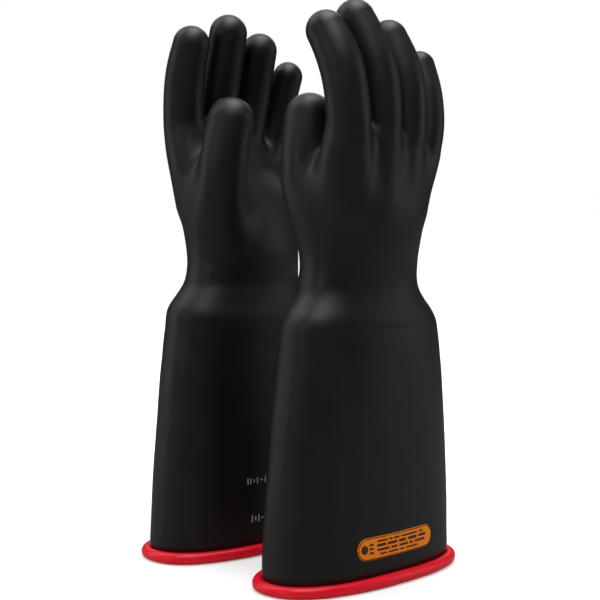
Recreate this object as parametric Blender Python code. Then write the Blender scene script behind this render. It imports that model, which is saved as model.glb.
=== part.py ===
"""Pair of long two-ply rubber insulating gloves, standing on their cuffs, palms towards each other.

Frame: +Z up, origin on the floor midway between the gloves. The right glove stands at +X and the
left glove at -X, the thumbs are on the -Y side. Each glove is designed once in its own
coordinates, in millimetres: u (Vector x) towards the back of the hand, v (Vector y) away from the
thumb side, z up. The left glove is its mirror image.
"""

import math
from collections import namedtuple

import bmesh
import bpy
from mathutils import Vector

MM = 0.001

# ---- driving dimensions, mm and degrees ------------------------------------------------------
PAIR_SPACING = 110.6        # between the two glove centres
OUTER_WALL = 1.8            # black outer ply
PLY_GAP = 0.3               # between the plies
INNER_WALL = 1.3            # red inner ply
JOINT_GAP = 0.3             # each side of a flex line
SHARP_ANGLE = 40            # edges sharper than this are shaded sharp

CUFF_SEGMENTS = 24
PALM_SEGMENTS = 20
FINGER_SEGMENTS = 12

# Each ply: part name, material, depth of its outer and inner faces below the glove surface
LINER_DEPTH = OUTER_WALL + PLY_GAP
PLIES = (
    ("shell", "outer", 0.0, OUTER_WALL),
    ("liner", "inner", LINER_DEPTH, LINER_DEPTH + INNER_WALL),
)

# Stations of the gauntlet, wrist and palm:
# height, centre u, centre v, half thickness, half width, squareness
STATIONS = (
    (0.0, 0.0, 0.0, 30.6, 71.0, 2.4),
    (9.0, 0.0, 0.0, 30.6, 71.0, 2.4),
    (14.0, 0.0, 0.2, 32.0, 72.8, 2.4),
    (40.0, 0.0, 0.4, 32.4, 72.5, 2.4),
    (80.0, 0.3, 1.4, 32.1, 69.5, 2.4),
    (120.0, 0.6, 1.7, 31.1, 65.5, 2.4),
    (142.0, 0.8, 1.7, 30.4, 62.7, 2.4),
    (153.0, 0.5, 1.7, 30.2, 61.4, 2.38),
    (160.0, 0.5, 1.3, 29.9, 60.4, 2.35),
    (166.0, 0.6, 0.6, 28.9, 57.3, 2.3),
    (174.0, 0.2, 0.4, 27.2, 50.6, 2.25),
    (182.0, -0.2, 0.5, 26.6, 45.0, 2.2),
    (190.0, -0.6, 0.7, 27.4, 42.9, 2.2),
    (200.0, 0.2, 0.9, 27.3, 41.4, 2.2),
    (210.0, 3.2, 1.1, 26.0, 39.8, 2.2),
    (222.0, 6.7, 2.0, 23.9, 40.8, 2.25),
    (236.0, 10.8, 3.4, 20.7, 42.6, 2.35),
    (250.0, 14.5, 4.6, 18.4, 44.6, 2.45),
    (262.0, 17.2, 5.2, 16.8, 45.6, 2.5),
    (275.0, 19.6, 5.8, 15.4, 46.0, 2.5),
)

# Heights of the modelled sections, on either side of the wrist flex line
CUFF_LEVELS = (0.8, 8.5, 14, 60, 120, 148, 159, 169, 181)
PALM_LEVELS = (212, 228, 245, 260)
PALM_TOP = 272.0
# Rounding of the palm top: drop below the top, further inset in u, further inset in v
PALM_SHOULDER = ((4, 1.5, 2), (0, 6.5, 7))

WRIST = Vector((2.0, 0, 200.0))
WRIST_AXIS = Vector((0, 1, 0))
WRIST_FLEX = (30.0, 8.0)    # towards the back of the hand, towards the palm

# The hollows run past the rims by these lengths, to cut them open
WRIST_OVERRUN = 10
KNUCKLE_OVERRUN = 8

# Positions along a digit's centre-line, counted in points from the root
ROOT, KNUCKLE, MIDDLE, TIP = range(4)
BELOW_TIP = 2.62            # section between the middle joint and the domed tip
DOME_ANGLES = (0, 34, 64)

FINGER_AXIS = Vector((0, -1, 0))                    # positive curls a finger into the palm
THUMB_AXIS = Vector((1, -1, 0)).normalized()        # positive opens the thumb from the palm

Digit = namedtuple("Digit", "centre_line radii flex axis stub_positions")


def digit(points, radii, knuckle_flex, middle_flex, axis=FINGER_AXIS, stub_positions=(ROOT,)):
    """points: (u, v, z) of root, knuckle, middle joint and tip centre, with the radii there.

    Each flex is the angle in the positive direction about axis, then the angle back.
    """
    flex = {KNUCKLE: knuckle_flex, MIDDLE: middle_flex}
    return Digit([Vector(p) for p in points], radii, flex, axis, stub_positions)


DIGITS = {
    "thumb": digit(
        ((2, -18, 206), (-13.6, -28.8, 248), (-17.0, -27.4, 270), (-18.4, -24.2, 289.0)),
        (11.0, 14.2, 15.0, 14.6), (25, 5), (18, 10), THUMB_AXIS, (ROOT, 0.5)),
    "index": digit(
        ((19.5, -27.5, 252), (23.2, -31.0, 286), (19.6, -33.0, 316), (8.3, -36.4, 339.2)),
        (9.0, 13.0, 12.9, 12.1), (25, 10), (60, 12)),
    "middle": digit(
        ((20, -3.5, 252), (21.2, -2.5, 290), (16.0, -3.2, 320), (4.0, -7.4, 347.3)),
        (9.5, 12.9, 12.9, 12.7), (25, 10), (60, 12)),
    "ring": digit(
        ((19.5, 17.5, 252), (19.8, 22.8, 285), (14.8, 24.2, 313), (5.1, 21.8, 338.0)),
        (9.5, 12.0, 12.1, 12.0), (25, 10), (60, 12)),
    "little": digit(
        ((17, 37, 250), (16.8, 45.4, 280), (12.6, 47.6, 302), (7.0, 48.8, 320.5)),
        (9.0, 10.0, 10.1, 10.0), (25, 10), (60, 12)),
}


# ---- scene and materials ---------------------------------------------------------------------
def collection(name):
    new = bpy.data.collections.new(name)
    bpy.context.scene.collection.children.link(new)
    return new


def rubber(name, colour, roughness):
    mat = bpy.data.materials.new(name)
    mat.use_nodes = True
    bsdf = mat.node_tree.nodes["Principled BSDF"]
    bsdf.inputs["Base Color"].default_value = colour
    bsdf.inputs["Roughness"].default_value = roughness
    bsdf.inputs["Metallic"].default_value = 0.0
    mat.diffuse_color = colour
    return mat


for old in list(bpy.data.objects):
    bpy.data.objects.remove(old, do_unlink=True)
parts = collection("electrical_insulating_gloves")
cutters = collection("cutters")

MATERIALS = {
    "outer": rubber("outer", colour=(0.010, 0.010, 0.011, 1.0), roughness=0.42),
    "inner": rubber("inner", colour=(0.42, 0.020, 0.032, 1.0), roughness=0.50),
    "bead": rubber("bead", colour=(0.50, 0.022, 0.036, 1.0), roughness=0.45),
    "label": rubber("label", colour=(0.62, 0.16, 0.012, 1.0), roughness=0.45),
}


# ---- sections of the cuff and palm -----------------------------------------------------------
def station_secant(k, column):
    """Slope of a column between stations k and k + 1."""
    lower, upper = STATIONS[k], STATIONS[k + 1]
    return (upper[column] - lower[column]) / (upper[0] - lower[0])


def station_slope(k, column):
    """Slope at station k: the harmonic mean of its neighbours, so the curve never overshoots."""
    if k == 0:
        return station_secant(0, column)
    if k == len(STATIONS) - 1:
        return station_secant(k - 1, column)
    before = station_secant(k - 1, column)
    after = station_secant(k, column)
    return 2 * before * after / (before + after) if before * after > 0 else 0.0


def station(z):
    """Centre u, v, half sizes and squareness at height z, smoothly between the stations."""
    z = min(max(z, STATIONS[0][0]), STATIONS[-1][0])
    k = 0
    while k < len(STATIONS) - 2 and z > STATIONS[k + 1][0]:
        k += 1
    lower, upper = STATIONS[k], STATIONS[k + 1]
    height = upper[0] - lower[0]
    t = (z - lower[0]) / height
    return [
        (2 * t**3 - 3 * t**2 + 1) * lower[column]
        + (t**3 - 2 * t**2 + t) * station_slope(k, column) * height
        + (-2 * t**3 + 3 * t**2) * upper[column]
        + (t**3 - t**2) * station_slope(k + 1, column) * height
        for column in range(1, 6)
    ]


def signed_power(value, power):
    return math.copysign(abs(value) ** power, value) if abs(value) > 1e-9 else 0.0


def unit_oval(squareness, count):
    """Points (x, y) of a superellipse with half sizes 1."""
    angles = [2 * math.pi * k / count for k in range(count)]
    return [(signed_power(math.cos(a), 2 / squareness), signed_power(math.sin(a), 2 / squareness))
            for a in angles]


def body_ring(z, inset, count, section_z=None, extra_u=0.0, extra_v=0.0):
    """Section at height z; its shape may come from section_z and be drawn in further."""
    centre_u, centre_v, half_u, half_v, squareness = station(z if section_z is None else section_z)
    half_u = half_u - inset - extra_u
    half_v = half_v - inset - extra_v
    return [Vector((centre_u + half_u * x, centre_v + half_v * y, z))
            for x, y in unit_oval(squareness, count)]


# ---- flex lines and digit sections -----------------------------------------------------------
def roof(ring, pivot, along, axis, flex, below):
    """Slides a rim along the limb onto the two planes of a flex line through pivot."""
    flat = (along - axis * along.dot(axis)).normalized()
    across = axis.cross(flat)
    sign = 1.0 if below else -1.0
    normals = []
    for angle, way in zip(flex, (1.0, -1.0)):
        half = math.radians(angle / 2)
        normals.append(flat * (sign * math.cos(half)) + across * (way * math.sin(half)))
    choose = min if below else max
    return [p + along * choose((-JOINT_GAP - (p - pivot).dot(n)) / along.dot(n) for n in normals)
            for p in ring]


def wrist_rim(inset, count, below):
    ring = body_ring(WRIST.z, inset, count)
    return roof(ring, WRIST, Vector((0, 0, 1)), WRIST_AXIS, WRIST_FLEX, below)


def centre_line_at(points, position):
    """Point and direction on the smooth (Catmull-Rom) curve through points."""
    extended = [points[0] * 2 - points[1]] + points + [points[-1] * 2 - points[-2]]
    i = min(int(position), len(points) - 2)
    t = position - i
    p0, p1, p2, p3 = extended[i:i + 4]
    linear = p2 - p0
    square = p0 * 2 - p1 * 5 + p2 * 4 - p3
    cubic = p1 * 3 - p0 - p2 * 3 + p3
    point = (p1 * 2 + linear * t + square * t**2 + cubic * t**3) * 0.5
    direction = (linear + square * (2 * t) + cubic * (3 * t**2)) * 0.5
    return point, direction.normalized()


def digit_ring(digit, position, inset, shift=0.0, shrink=1.0):
    """Round section of a digit, moved by shift along it and scaled by shrink."""
    centre, along = centre_line_at(digit.centre_line, position)
    radii = digit.radii
    i = min(int(position), len(radii) - 2)
    radius = (radii[i] + (radii[i + 1] - radii[i]) * (position - i) - inset) * shrink
    side_a = (digit.axis - along * digit.axis.dot(along)).normalized()
    side_b = along.cross(side_a)
    centre = centre + along * shift
    angles = [2 * math.pi * k / FINGER_SEGMENTS for k in range(FINGER_SEGMENTS)]
    return [centre + (side_a * math.cos(a) + side_b * math.sin(a)) * radius for a in angles]


def digit_rim(digit, joint, inset, below):
    centre, along = centre_line_at(digit.centre_line, joint)
    ring = digit_ring(digit, joint, inset)
    return roof(ring, centre, along, digit.axis, digit.flex[joint], below)


# ---- solids ----------------------------------------------------------------------------------
def add_cap(bm, row, cap):
    """cap: "flat", the index of the vertex where a two-plane cap is split, or None for no cap."""
    if cap is None:
        return
    if cap == "flat":
        bm.faces.new(row)
        return
    half = len(row) // 2
    turned = row[cap:] + row[:cap]
    bm.faces.new(turned[:half + 1])
    bm.faces.new(turned[half:] + [turned[0]])


def loft(rings, loop=False, start=None, end=None):
    """Skins sections of equal count; a section of one point closes the skin to that point."""
    bm = bmesh.new()
    rows = [[bm.verts.new(p) for p in ring] for ring in rings]
    pairs = list(zip(rows, rows[1:]))
    if loop:
        pairs.append((rows[-1], rows[0]))
    for a, b in pairs:
        count = max(len(a), len(b))
        for i in range(count):
            j = (i + 1) % count
            if len(a) == 1:
                bm.faces.new((a[0], b[j], b[i]))
            elif len(b) == 1:
                bm.faces.new((a[i], a[j], b[0]))
            else:
                bm.faces.new((a[i], a[j], b[j], b[i]))
    add_cap(bm, rows[0], start)
    add_cap(bm, rows[-1], end)
    bmesh.ops.recalc_face_normals(bm, faces=bm.faces[:])
    return bm


def mesh_object(bm, name, target):
    """Turns bm into an object in the target collection and frees it."""
    mesh = bpy.data.meshes.new(name)
    bm.to_mesh(mesh)
    bm.free()
    obj = bpy.data.objects.new(name, mesh)
    target.objects.link(obj)
    return obj


def helper(bm, name):
    obj = mesh_object(bm, name, cutters)
    obj.hide_render = True
    return obj


def combine(base, others, operation):
    """The boolean of base with all the others, as a bmesh."""
    for other in others:
        mod = base.modifiers.new(operation.lower(), "BOOLEAN")
        mod.operation = operation
        mod.solver = "EXACT"
        mod.object = other
    bpy.context.view_layer.update()
    depsgraph = bpy.context.evaluated_depsgraph_get()
    mesh = bpy.data.meshes.new_from_object(base.evaluated_get(depsgraph))
    bm = bmesh.new()
    bm.from_mesh(mesh)
    bpy.data.meshes.remove(mesh)
    return bm


# ---- pieces of one glove ---------------------------------------------------------------------
def gauntlet(outer, inner):
    def wall(inset):
        rings = [body_ring(z, inset, CUFF_SEGMENTS) for z in CUFF_LEVELS]
        return rings + [wrist_rim(inset, CUFF_SEGMENTS, below=True)]

    return loft(wall(outer) + wall(inner)[::-1], loop=True)


def palm(inset, hollow):
    """The palm as a solid, or the hollow inside it, which runs out past the wrist rim."""
    rings = [wrist_rim(inset, PALM_SEGMENTS, below=False)]
    if hollow:
        rings.insert(0, [Vector((p.x, p.y, WRIST.z - WRIST_OVERRUN)) for p in rings[0]])
    rings += [body_ring(z, inset, PALM_SEGMENTS) for z in PALM_LEVELS]
    top = PALM_TOP - inset
    rings += [body_ring(top - drop, inset, PALM_SEGMENTS, top, extra_u, extra_v)
              for drop, extra_u, extra_v in PALM_SHOULDER]
    return loft(rings, start="flat" if hollow else PALM_SEGMENTS // 4, end="flat")


def stub(digit, inset, hollow):
    """The root of a digit up to its knuckle flex line; the hollow runs out past the rim."""
    rings = [digit_ring(digit, position, inset) for position in digit.stub_positions]
    rings.append(digit_rim(digit, KNUCKLE, inset, below=True))
    if hollow:
        along = centre_line_at(digit.centre_line, KNUCKLE)[1]
        rings.append([p + along * KNUCKLE_OVERRUN for p in rings[-1]])
    return loft(rings, start="flat", end=0)


def palm_with_stubs(inset, hollow):
    """Helper object with the palm and the digit roots joined."""
    base = helper(palm(inset, hollow), "palm")
    stubs = [helper(stub(digit, inset, hollow), name) for name, digit in DIGITS.items()]
    return helper(combine(base, stubs, "UNION"), "joined")


def hand(outer, inner):
    outside = palm_with_stubs(outer, hollow=False)
    inside = palm_with_stubs(inner, hollow=True)
    bm = combine(outside, [inside], "DIFFERENCE")
    bmesh.ops.remove_doubles(bm, verts=bm.verts[:], dist=0.02)
    bmesh.ops.dissolve_degenerate(bm, edges=bm.edges[:], dist=0.01)
    bmesh.ops.triangulate(bm, faces=bm.faces[:])
    for obj in list(cutters.objects):
        mesh = obj.data
        bpy.data.objects.remove(obj, do_unlink=True)
        bpy.data.meshes.remove(mesh)
    return bm


def digit_base(digit, outer, inner):
    """Sleeve from the knuckle flex line to the middle one."""
    def wall(inset):
        return [digit_rim(digit, KNUCKLE, inset, below=False),
                digit_rim(digit, MIDDLE, inset, below=True)]

    return loft(wall(outer) + wall(inner)[::-1], loop=True)


def digit_tip(digit, outer, inner):
    """Domed end beyond the middle flex line."""
    tip, along = centre_line_at(digit.centre_line, TIP)

    def wall(inset):
        radius = digit.radii[TIP] - inset
        rings = [digit_rim(digit, MIDDLE, inset, below=False),
                 digit_ring(digit, BELOW_TIP, inset)]
        for angle in DOME_ANGLES:
            rise = math.radians(angle)
            rings.append(digit_ring(digit, TIP, inset, radius * math.sin(rise), math.cos(rise)))
        return rings + [[tip + along * radius]]

    return loft(wall(outer)[::-1] + wall(inner))


BEAD_HALF_U = 34.9          # bead centre-line, half thickness of the cuff
BEAD_HALF_V = 75.6          # bead centre-line, half width of the cuff
BEAD_SQUARENESS = 2.4
BEAD_RADIUS = 3.9
BEAD_FOOT = 3.4             # bead centre above the floor
BEAD_FLAT = 0.6             # points lower than this are set on the floor
BEAD_SEGMENTS = 32
BEAD_SECTION_SEGMENTS = 12


def rolled_bead():
    """Rolled rubber edge round the cuff, flattened underneath where the glove stands on it."""
    rings = []
    for x, y in unit_oval(BEAD_SQUARENESS, BEAD_SEGMENTS):
        out = Vector((signed_power(x, BEAD_SQUARENESS - 1) / BEAD_HALF_U,
                      signed_power(y, BEAD_SQUARENESS - 1) / BEAD_HALF_V, 0)).normalized()
        centre = Vector((BEAD_HALF_U * x, BEAD_HALF_V * y, BEAD_FOOT))
        ring = []
        for k in range(BEAD_SECTION_SEGMENTS):
            angle = 2 * math.pi * k / BEAD_SECTION_SEGMENTS
            rise = Vector((0, 0, BEAD_RADIUS * math.sin(angle)))
            point = centre + out * (BEAD_RADIUS * math.cos(angle)) + rise
            if point.z < BEAD_FLAT:
                point.z = 0.0
            ring.append(point)
        rings.append(ring)
    return loft(rings, loop=True)


LABEL_LENGTH = 70.0
LABEL_HEIGHT = 14.2
LABEL_V = 2.0
LABEL_Z = 25.0
LABEL_THICKNESS = 0.5
LABEL_LIFT = 0.3            # gap between the cuff and the label
LABEL_END_ANGLES = (12, 40, 65, 90)     # columns round each rounded end
LABEL_STEPS = 8             # along the straight middle


def above_cuff(v, z, lift):
    """Point at a distance lift off the back of the cuff."""
    centre_u, centre_v, half_u, half_v, squareness = station(z)
    y = abs((v - centre_v) / half_v)
    u = centre_u + half_u * (1 - y**squareness) ** (1 / squareness)
    slope = (half_u / half_v) * y ** (squareness - 1) * (1 - y**squareness) ** (1 / squareness - 1)
    out = Vector((1.0, math.copysign(slope, v - centre_v), 0)).normalized()
    return Vector((u, v, z)) + out * lift


def label():
    """Thin oblong plate with rounded ends, following the back of the cuff."""
    radius = LABEL_HEIGHT / 2
    straight = LABEL_LENGTH - 2 * radius
    end = [(straight / 2 + radius * math.cos(math.radians(a)), radius * math.sin(math.radians(a)))
           for a in LABEL_END_ANGLES]
    # Columns: v from the label's centre, half height
    columns = [(-v, half_height) for v, half_height in end]
    columns += [(straight * (k / LABEL_STEPS - 0.5), radius) for k in range(1, LABEL_STEPS)]
    columns += end[::-1]
    under, top = LABEL_LIFT, LABEL_LIFT + LABEL_THICKNESS
    rings = [
        [above_cuff(LABEL_V + v, LABEL_Z + way * half_height, lift)
         for way, lift in ((-1, under), (1, under), (1, top), (-1, top))]
        for v, half_height in columns
    ]
    bm = loft(rings, start="flat", end="flat")
    bmesh.ops.triangulate(bm, faces=bm.faces[:])
    return bm


# ---- build both gloves -----------------------------------------------------------------------
Pivot = namedtuple("Pivot", "empty where")      # where: its place in the scene


def place(point, side):
    """Scene position, in metres, of a design point on the glove at side +1 (right) or -1."""
    return Vector((side * (PAIR_SPACING / 2 + point.x), point.y, point.z)) * MM


def add_pivot(name, point, side, parent=None):
    empty = bpy.data.objects.new(name, None)
    empty.empty_display_size = 0.01
    parts.objects.link(empty)
    where = place(point, side)
    empty.location = where
    if parent is not None:
        empty.parent = parent.empty
        empty.location = where - parent.where
    return Pivot(empty, where)


def add_part(name, bm, slot, side, pivot):
    """Puts a design-coordinate solid in the scene under its pivot."""
    for vert in bm.verts:
        vert.co = place(vert.co, side) - pivot.where
    # Mirroring turns the faces inwards
    if bm.calc_volume(signed=True) < 0:
        bmesh.ops.reverse_faces(bm, faces=bm.faces[:])
    obj = mesh_object(bm, name, parts)
    obj.data.shade_smooth()
    obj.data.set_sharp_from_angle(angle=math.radians(SHARP_ANGLE))
    obj.data.materials.append(MATERIALS[slot])
    obj.parent = pivot.empty


def build_glove(glove, side):
    cuff = add_pivot(f"{glove}_glove_place", Vector((0, 0, 0)), side)
    add_part(f"{glove}_rolled_bead", rolled_bead(), "bead", side, cuff)
    add_part(f"{glove}_class_label", label(), "label", side, cuff)
    wrist = add_pivot(f"{glove}_wrist_axis", WRIST, side, cuff)
    for ply, slot, outer, inner in PLIES:
        add_part(f"{glove}_gauntlet_{ply}", gauntlet(outer, inner), slot, side, cuff)
        add_part(f"{glove}_hand_{ply}", hand(outer, inner), slot, side, wrist)
    for name, digit in DIGITS.items():
        prefix = f"{glove}_{name}"
        points = digit.centre_line
        knuckle = add_pivot(f"{prefix}_knuckle_axis", points[KNUCKLE], side, wrist)
        middle = add_pivot(f"{prefix}_middle_axis", points[MIDDLE], side, knuckle)
        for ply, slot, outer, inner in PLIES:
            base = digit_base(digit, outer, inner)
            add_part(f"{prefix}_base_{ply}", base, slot, side, knuckle)
            tip = digit_tip(digit, outer, inner)
            add_part(f"{prefix}_tip_{ply}", tip, slot, side, middle)


build_glove("right", 1)
build_glove("left", -1)
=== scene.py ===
# A pair of rubber insulating gloves standing on their open cuffs, fingers up: black outside, red
# inside, with a red rolled bead round each cuff and an orange label on its back. The right glove
# stands at +x and the left one mirrors it; palms face each other, thumbs lie towards -y.
import math
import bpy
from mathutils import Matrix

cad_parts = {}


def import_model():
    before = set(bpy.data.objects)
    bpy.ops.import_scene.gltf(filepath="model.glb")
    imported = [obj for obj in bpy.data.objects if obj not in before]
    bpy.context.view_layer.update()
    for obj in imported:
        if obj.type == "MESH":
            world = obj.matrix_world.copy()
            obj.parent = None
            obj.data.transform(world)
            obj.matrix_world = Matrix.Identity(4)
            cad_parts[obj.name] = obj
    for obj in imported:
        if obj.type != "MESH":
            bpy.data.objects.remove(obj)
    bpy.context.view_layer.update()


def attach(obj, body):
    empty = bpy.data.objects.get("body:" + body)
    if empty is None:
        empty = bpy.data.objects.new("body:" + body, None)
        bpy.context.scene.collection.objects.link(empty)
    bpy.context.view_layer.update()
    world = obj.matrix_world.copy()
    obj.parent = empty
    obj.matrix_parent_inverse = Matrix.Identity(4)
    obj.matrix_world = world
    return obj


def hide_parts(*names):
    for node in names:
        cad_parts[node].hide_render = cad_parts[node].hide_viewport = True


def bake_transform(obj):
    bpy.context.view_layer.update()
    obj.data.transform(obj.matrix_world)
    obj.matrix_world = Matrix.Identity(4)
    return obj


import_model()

from concurrent.futures import ThreadPoolExecutor
from functools import lru_cache

import bmesh
import bpy
import numpy as np
from mathutils import Vector

MM = 0.001
GLOVE_X = 55.3          # from the middle of the pair to each glove's own origin, mm
WALL = 3.4              # both plies of rubber together, mm
VOXEL = 1.5             # grid pitch of the glove mesh, mm

# ------------------------------------------------------------------------------------------
# Shape of one glove in its own millimetres: x from the palm to the back of the hand, y away
# from the thumb side, z up. "side" is +1 for the right glove and -1 for the left.
# ------------------------------------------------------------------------------------------
# Oval sections of the cuff and hand: z, centre x, y, half width in x, in y, squareness
STATIONS = np.array([
    (0.0, 0.5, 0.0, 32.7, 74.0, 2.40),
    (40.0, 0.0, 0.4, 32.4, 72.5, 2.40),
    (80.0, 0.3, 1.4, 32.1, 69.5, 2.40),
    (120.0, 0.6, 1.7, 31.1, 65.5, 2.40),
    (142.0, 0.8, 1.7, 30.4, 62.7, 2.40),
    (153.0, 0.5, 1.8, 30.2, 61.3, 2.38),
    (160.0, 0.5, 1.4, 29.9, 60.4, 2.35),
    (166.0, 0.9, 0.5, 28.9, 57.3, 2.30),
    (174.0, 0.2, 0.3, 27.2, 50.6, 2.25),
    (182.0, -0.2, 0.5, 26.5, 44.9, 2.20),
    (190.0, -0.9, 0.8, 27.5, 42.9, 2.20),
    (200.0, -0.6, 1.7, 29.1, 41.7, 2.20),
    (210.0, 1.3, 1.6, 29.9, 41.5, 2.20),
    (222.0, 4.5, 0.7, 29.5, 41.8, 2.25),
    (236.0, 7.2, -0.5, 27.1, 42.5, 2.35),
    (250.0, 10.5, -1.2, 23.5, 42.4, 2.45),
    (262.0, 13.4, -0.2, 19.9, 43.0, 2.50),
    (272.0, 15.9, 1.0, 16.4, 41.8, 2.50),
    (280.0, 17.3, 2.0, 12.8, 40.6, 2.50),
    (288.0, 17.6, 2.6, 8.6, 39.0, 2.50),
    (297.0, 17.6, 3.0, 4.8, 37.4, 2.50),
])
PALM_TOP = 289.0
PALM_EDGE_ROUND = 9.0
LEVEL_STEP = 0.5
LEVELS = np.arange(-20.0, 300.0, LEVEL_STEP)

# Each digit's centre-line (root, lower hand, knuckle flex line, middle flex line, tip centre)
# and its radius at each of those points
DIGITS = {
    "index": (
        ((15.5, -25.5, 236), (20.6, -29.6, 262), (22.4, -31.6, 286), (18.5, -33.5, 315.5),
         (7.9, -36.4, 338.4)),
        (10.5, 12.6, 13.5, 13.5, 12.2)),
    "middle": (
        ((17, -4, 238), (20.2, -3.2, 264), (21.2, -2.5, 290), (16.0, -2.9, 320),
         (4.0, -7.6, 347.1)),
        (10.5, 12.4, 12.9, 13.3, 12.5)),
    "ring": (
        ((16.5, 13.5, 236), (19.4, 19.0, 261), (19.8, 22.8, 285), (15.0, 24.5, 313),
         (5.1, 21.4, 337.2)),
        (10.5, 12.0, 12.2, 12.6, 11.8)),
    "little": (
        ((14.5, 28.4, 234), (17.0, 36.9, 257), (17.0, 44.6, 280), (12.8, 48.0, 302),
         (6.0, 48.9, 321.2)),
        (9.5, 10.5, 10.7, 10.6, 10.1)),
    "thumb": (
        ((0, -18, 205), (-9.3, -25.6, 226), (-14.5, -29.4, 246), (-16.8, -28.2, 269),
         (-18.2, -24.8, 287.8)),
        (14.5, 16.4, 16.5, 16.0, 15.4)),
}
FINGERS = ("index", "middle", "ring", "little")
KNUCKLE, MIDDLE = 2, 3      # centre-line parameters of the two flex lines


def ramp(value, start, over):
    """A smooth step from 0 at start to 1 at start + over."""
    x = np.clip((value - start) / over, 0, 1)
    return x * x * (3 - 2 * x)


def monotone(x, knots, values):
    """Cubic through the knots that never overshoots them."""
    count = len(knots)
    gap = np.diff(knots)
    rise = np.diff(values) / gap
    slope = np.zeros(count)
    slope[1:-1] = np.where(rise[1:] * rise[:-1] > 0,
                           2 * rise[1:] * rise[:-1] / (rise[1:] + rise[:-1] + 1e-12), 0)
    slope[0], slope[-1] = rise[0], rise[-1]
    x = np.clip(x, knots[0], knots[-1])
    i = np.clip(np.searchsorted(knots, x) - 1, 0, count - 2)
    t = (x - knots[i]) / gap[i]
    return ((2 * t**3 - 3 * t**2 + 1) * values[i]
            + (t**3 - 2 * t**2 + t) * gap[i] * slope[i]
            + (-2 * t**3 + 3 * t**2) * values[i + 1]
            + (t**3 - t**2) * gap[i] * slope[i + 1])


def evened(values, reach, sigma, ends="edge"):
    """Gaussian smoothing; reach and sigma are in samples, ends is a mode of np.pad."""
    weights = np.exp(-0.5 * (np.arange(-reach, reach + 1) / sigma) ** 2)
    weights /= weights.sum()
    return np.convolve(np.pad(values, reach, mode=ends), weights, mode="valid")


def station_column(column):
    """A column evened out along z: lightly at the sharp shoulder, more over the hand."""
    raw = monotone(LEVELS, STATIONS[:, 0], STATIONS[:, column])
    light, strong = (evened(raw, 60, sigma / LEVEL_STEP) for sigma in (2.2, 7.0))
    share = ramp(LEVELS, 178, 30)
    return light * (1 - share) + strong * share


SECTIONS = np.stack([station_column(column) for column in range(1, 6)])


def section(z):
    """Centre x, y, half widths and squareness at heights z, by a Catmull-Rom spline."""
    level = (np.clip(z, LEVELS[2], LEVELS[-3]) - LEVELS[0]) / LEVEL_STEP
    i = np.floor(level).astype(int)
    t = level - i
    p0, p1, p2, p3 = (SECTIONS[:, i + k] for k in (-1, 0, 1, 2))
    return 0.5 * (2 * p1 + (p2 - p0) * t + (2 * p0 - 5 * p1 + 4 * p2 - p3) * t**2
                  + (3 * p1 - p0 - 3 * p2 + p3) * t**3)


def body_field(points):
    """Distance, roughly, from the cuff and hand without digits; negative inside."""
    x, y, height = points[:, 0], points[:, 1], points[:, 2]
    z = np.minimum(height, PALM_TOP)
    # the hand ends lower on the little finger's side, and lower on the back than in the palm
    drop = 17.0 * ramp(y, -17, 55) * ramp(z, 228, 40)
    drop = drop + 5.0 * ramp(x, 12, 16) * ramp(z, 226, 50)
    centre_x, centre_y, half_x, half_y, power = section(z + drop)
    thumb_room = 0.15 * ramp(-y, 8, 18) * ramp(z, 242, 20)     # hollow behind the thumb
    back_hollow = 0.15 * ramp(z, 226, 36)           # the fingers stand up out of the back
    narrow = np.where(x < centre_x, 1.0 - thumb_room, 1.0 - back_hollow)
    across = np.abs(x - centre_x) / (half_x * narrow)
    along = np.abs(y - centre_y) / half_y
    total = across**power + along**power + 1e-9
    radius = total ** (1 / power)
    slope = np.sqrt((across ** (power - 1) / half_x) ** 2 + (along ** (power - 1) / half_y) ** 2)
    slope = slope * total ** (1 / power - 1) + 1e-6
    wall = np.maximum((radius - 1) / slope, -np.minimum(half_x, half_y))
    top = height + drop - PALM_TOP
    edge = PALM_EDGE_ROUND
    corner = np.sqrt(np.maximum(wall + edge, 0) ** 2 + np.maximum(top + edge, 0) ** 2) - edge
    return np.where((wall > -edge) & (top > -edge), corner, np.maximum(wall, top))


def dot(first, second):
    return np.einsum("ij,ij->i", first, second)


class Spline:
    """Natural cubic through points, parameter 0..n-1."""

    def __init__(self, points):
        points = np.asarray(points, float)
        self.count = len(points)
        system = np.zeros((self.count, self.count))
        target = np.zeros_like(points)
        system[0, 0] = system[-1, -1] = 1
        for i in range(1, self.count - 1):
            system[i, i - 1:i + 2] = (1, 4, 1)
            target[i] = 6 * (points[i + 1] - 2 * points[i] + points[i - 1])
        bend = np.linalg.solve(system, target)
        y0, y1, m0, m1 = points[:-1], points[1:], bend[:-1], bend[1:]
        # each span as a cubic in its own 0..1
        self.spans = np.stack([y0, y1 - y0 - m0 / 3 - m1 / 6, m0 / 2, (m1 - m0) / 6], 1)

    def at(self, t, order=0):
        """The point at t, or its first or second derivative."""
        i = np.clip(t.astype(int), 0, self.count - 2)
        s = (t - i)[:, None]
        c = self.spans[i]
        if order == 0:
            return c[:, 0] + s * (c[:, 1] + s * (c[:, 2] + s * c[:, 3]))
        if order == 1:
            return c[:, 1] + s * (2 * c[:, 2] + 3 * s * c[:, 3])
        return 2 * c[:, 2] + 6 * s * c[:, 3]


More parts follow.
